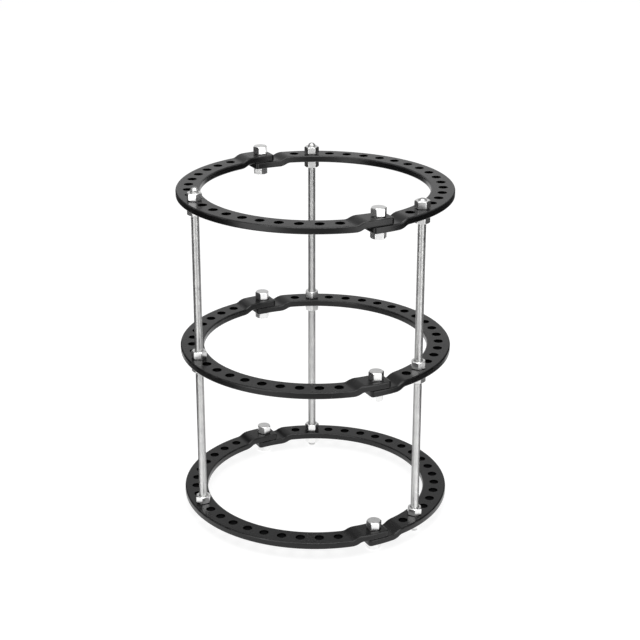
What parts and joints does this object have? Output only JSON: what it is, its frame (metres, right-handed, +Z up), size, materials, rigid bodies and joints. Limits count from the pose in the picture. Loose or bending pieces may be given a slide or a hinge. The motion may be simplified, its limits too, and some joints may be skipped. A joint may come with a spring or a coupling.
{
  "type": "ring external fixator",
  "caption": "Circular limb fixator: bolted half rings with a row of holes, held apart on threaded rods by a nut above and a nut below each ring.",
  "frame": {"origin": "on the surface that the rod ends stand on, at the rings' common axis", "axes": "Z up along the rods; X along the line of the two joint bolts, towards the front joint; Y towards the half ring that carries two of the rods"},
  "size_m": [0.2026, 0.2026, 0.2612],
  "materials": {
    "ring": "satin black anodised",
    "rod_steel": "satin stainless",
    "fastener_steel": "bright polished"
  },
  "bodies": {
    "rods": {"left_threaded_rod": "rod_steel", "right_threaded_rod": "rod_steel", "back_threaded_rod": "rod_steel"},
    "bottom_ring": {"bottom_front_half_ring": "ring", "bottom_back_half_ring": "ring", "bottom_front_joint_bolt": "fastener_steel", "bottom_front_joint_nut": "fastener_steel", "bottom_back_joint_bolt": "fastener_steel", "bottom_back_joint_nut": "fastener_steel"},
    "bottom_left_upper_nut": {"bottom_left_upper_nut": "fastener_steel"},
    "bottom_left_lower_nut": {"bottom_left_lower_nut": "fastener_steel"},
    "bottom_right_upper_nut": {"bottom_right_upper_nut": "fastener_steel"},
    "bottom_right_lower_nut": {"bottom_right_lower_nut": "fastener_steel"},
    "bottom_back_upper_nut": {"bottom_back_upper_nut": "fastener_steel"},
    "bottom_back_lower_nut": {"bottom_back_lower_nut": "fastener_steel"},
    "middle_ring": {"middle_front_half_ring": "ring", "middle_back_half_ring": "ring", "middle_front_joint_bolt": "fastener_steel", "middle_front_joint_nut": "fastener_steel", "middle_back_joint_bolt": "fastener_steel", "middle_back_joint_nut": "fastener_steel"},
    "middle_left_upper_nut": {"middle_left_upper_nut": "fastener_steel"},
    "middle_left_lower_nut": {"middle_left_lower_nut": "fastener_steel"},
    "middle_right_upper_nut": {"middle_right_upper_nut": "fastener_steel"},
    "middle_right_lower_nut": {"middle_right_lower_nut": "fastener_steel"},
    "middle_back_upper_nut": {"middle_back_upper_nut": "fastener_steel"},
    "middle_back_lower_nut": {"middle_back_lower_nut": "fastener_steel"},
    "top_ring": {"top_front_half_ring": "ring", "top_back_half_ring": "ring", "top_front_joint_bolt": "fastener_steel", "top_front_joint_nut": "fastener_steel", "top_back_joint_bolt": "fastener_steel", "top_back_joint_nut": "fastener_steel"},
    "top_left_upper_nut": {"top_left_upper_nut": "fastener_steel"},
    "top_left_lower_nut": {"top_left_lower_nut": "fastener_steel"},
    "top_right_upper_nut": {"top_right_upper_nut": "fastener_steel"},
    "top_right_lower_nut": {"top_right_lower_nut": "fastener_steel"},
    "top_back_upper_nut": {"top_back_upper_nut": "fastener_steel"},
    "top_back_lower_nut": {"top_back_lower_nut": "fastener_steel"}
  },
  "joints": [
    {"name": "bottom_ring_travel", "type": "slide", "parent": "rods", "child": "bottom_ring", "axis": [0, 0, 1], "range_m": [-0.003, 0.045]},
    {"name": "bottom_left_upper_nut_turn", "type": "hinge", "parent": "bottom_ring", "child": "bottom_left_upper_nut", "pos_m": [-0.00691, -0.09224, 0.0115], "axis": [0, 0, 1], "continuous": true},
    {"name": "bottom_left_lower_nut_turn", "type": "hinge", "parent": "bottom_ring", "child": "bottom_left_lower_nut", "pos_m": [-0.00691, -0.09224, 0.0115], "axis": [0, 0, 1], "continuous": true},
    {"name": "bottom_right_upper_nut_turn", "type": "hinge", "parent": "bottom_ring", "child": "bottom_right_upper_nut", "pos_m": [0.08334, 0.04013, 0.0115], "axis": [0, 0, 1], "continuous": true},
    {"name": "bottom_right_lower_nut_turn", "type": "hinge", "parent": "bottom_ring", "child": "bottom_right_lower_nut", "pos_m": [0.08334, 0.04013, 0.0115], "axis": [0, 0, 1], "continuous": true},
    {"name": "bottom_back_upper_nut_turn", "type": "hinge", "parent": "bottom_ring", "child": "bottom_back_upper_nut", "pos_m": [-0.08334, 0.04013, 0.0115], "axis": [0, 0, 1], "continuous": true},
    {"name": "bottom_back_lower_nut_turn", "type": "hinge", "parent": "bottom_ring", "child": "bottom_back_lower_nut", "pos_m": [-0.08334, 0.04013, 0.0115], "axis": [0, 0, 1], "continuous": true},
    {"name": "middle_ring_travel", "type": "slide", "parent": "rods", "child": "middle_ring", "axis": [0, 0, 1], "range_m": [-0.045, 0.045]},
    {"name": "middle_left_upper_nut_turn", "type": "hinge", "parent": "middle_ring", "child": "middle_left_upper_nut", "pos_m": [-0.00691, -0.09224, 0.1297], "axis": [0, 0, 1], "continuous": true},
    {"name": "middle_left_lower_nut_turn", "type": "hinge", "parent": "middle_ring", "child": "middle_left_lower_nut", "pos_m": [-0.00691, -0.09224, 0.1297], "axis": [0, 0, 1], "continuous": true},
    {"name": "middle_right_upper_nut_turn", "type": "hinge", "parent": "middle_ring", "child": "middle_right_upper_nut", "pos_m": [0.08334, 0.04013, 0.1297], "axis": [0, 0, 1], "continuous": true},
    {"name": "middle_right_lower_nut_turn", "type": "hinge", "parent": "middle_ring", "child": "middle_right_lower_nut", "pos_m": [0.08334, 0.04013, 0.1297], "axis": [0, 0, 1], "continuous": true},
    {"name": "middle_back_upper_nut_turn", "type": "hinge", "parent": "middle_ring", "child": "middle_back_upper_nut", "pos_m": [-0.08334, 0.04013, 0.1297], "axis": [0, 0, 1], "continuous": true},
    {"name": "middle_back_lower_nut_turn", "type": "hinge", "parent": "middle_ring", "child": "middle_back_lower_nut", "pos_m": [-0.08334, 0.04013, 0.1297], "axis": [0, 0, 1], "continuous": true},
    {"name": "top_ring_travel", "type": "slide", "parent": "rods", "child": "top_ring", "axis": [0, 0, 1], "range_m": [-0.045, 0.001]},
    {"name": "top_left_upper_nut_turn", "type": "hinge", "parent": "top_ring", "child": "top_left_upper_nut", "pos_m": [-0.00691, -0.09224, 0.2495], "axis": [0, 0, 1], "continuous": true},
    {"name": "top_left_lower_nut_turn", "type": "hinge", "parent": "top_ring", "child": "top_left_lower_nut", "pos_m": [-0.00691, -0.09224, 0.2495], "axis": [0, 0, 1], "continuous": true},
    {"name": "top_right_upper_nut_turn", "type": "hinge", "parent": "top_ring", "child": "top_right_upper_nut", "pos_m": [0.08334, 0.04013, 0.2495], "axis": [0, 0, 1], "continuous": true},
    {"name": "top_right_lower_nut_turn", "type": "hinge", "parent": "top_ring", "child": "top_right_lower_nut", "pos_m": [0.08334, 0.04013, 0.2495], "axis": [0, 0, 1], "continuous": true},
    {"name": "top_back_upper_nut_turn", "type": "hinge", "parent": "top_ring", "child": "top_back_upper_nut", "pos_m": [-0.08334, 0.04013, 0.2495], "axis": [0, 0, 1], "continuous": true},
    {"name": "top_back_lower_nut_turn", "type": "hinge", "parent": "top_ring", "child": "top_back_lower_nut", "pos_m": [-0.08334, 0.04013, 0.2495], "axis": [0, 0, 1], "continuous": true}
  ],
  "couplings": [
    {"joint": "bottom_left_upper_nut_turn", "follows": "bottom_ring_travel", "rad_per_m": 6283.2},
    {"joint": "bottom_left_lower_nut_turn", "follows": "bottom_ring_travel", "rad_per_m": 6283.2},
    {"joint": "bottom_right_upper_nut_turn", "follows": "bottom_ring_travel", "rad_per_m": 6283.2},
    {"joint": "bottom_right_lower_nut_turn", "follows": "bottom_ring_travel", "rad_per_m": 6283.2},
    {"joint": "bottom_back_upper_nut_turn", "follows": "bottom_ring_travel", "rad_per_m": 6283.2},
    {"joint": "bottom_back_lower_nut_turn", "follows": "bottom_ring_travel", "rad_per_m": 6283.2},
    {"joint": "middle_left_upper_nut_turn", "follows": "middle_ring_travel", "rad_per_m": 6283.2},
    {"joint": "middle_left_lower_nut_turn", "follows": "middle_ring_travel", "rad_per_m": 6283.2},
    {"joint": "middle_right_upper_nut_turn", "follows": "middle_ring_travel", "rad_per_m": 6283.2},
    {"joint": "middle_right_lower_nut_turn", "follows": "middle_ring_travel", "rad_per_m": 6283.2},
    {"joint": "middle_back_upper_nut_turn", "follows": "middle_ring_travel", "rad_per_m": 6283.2},
    {"joint": "middle_back_lower_nut_turn", "follows": "middle_ring_travel", "rad_per_m": 6283.2},
    {"joint": "top_left_upper_nut_turn", "follows": "top_ring_travel", "rad_per_m": 6283.2},
    {"joint": "top_left_lower_nut_turn", "follows": "top_ring_travel", "rad_per_m": 6283.2},
    {"joint": "top_right_upper_nut_turn", "follows": "top_ring_travel", "rad_per_m": 6283.2},
    {"joint": "top_right_lower_nut_turn", "follows": "top_ring_travel", "rad_per_m": 6283.2},
    {"joint": "top_back_upper_nut_turn", "follows": "top_ring_travel", "rad_per_m": 6283.2},
    {"joint": "top_back_lower_nut_turn", "follows": "top_ring_travel", "rad_per_m": 6283.2}
  ]
}
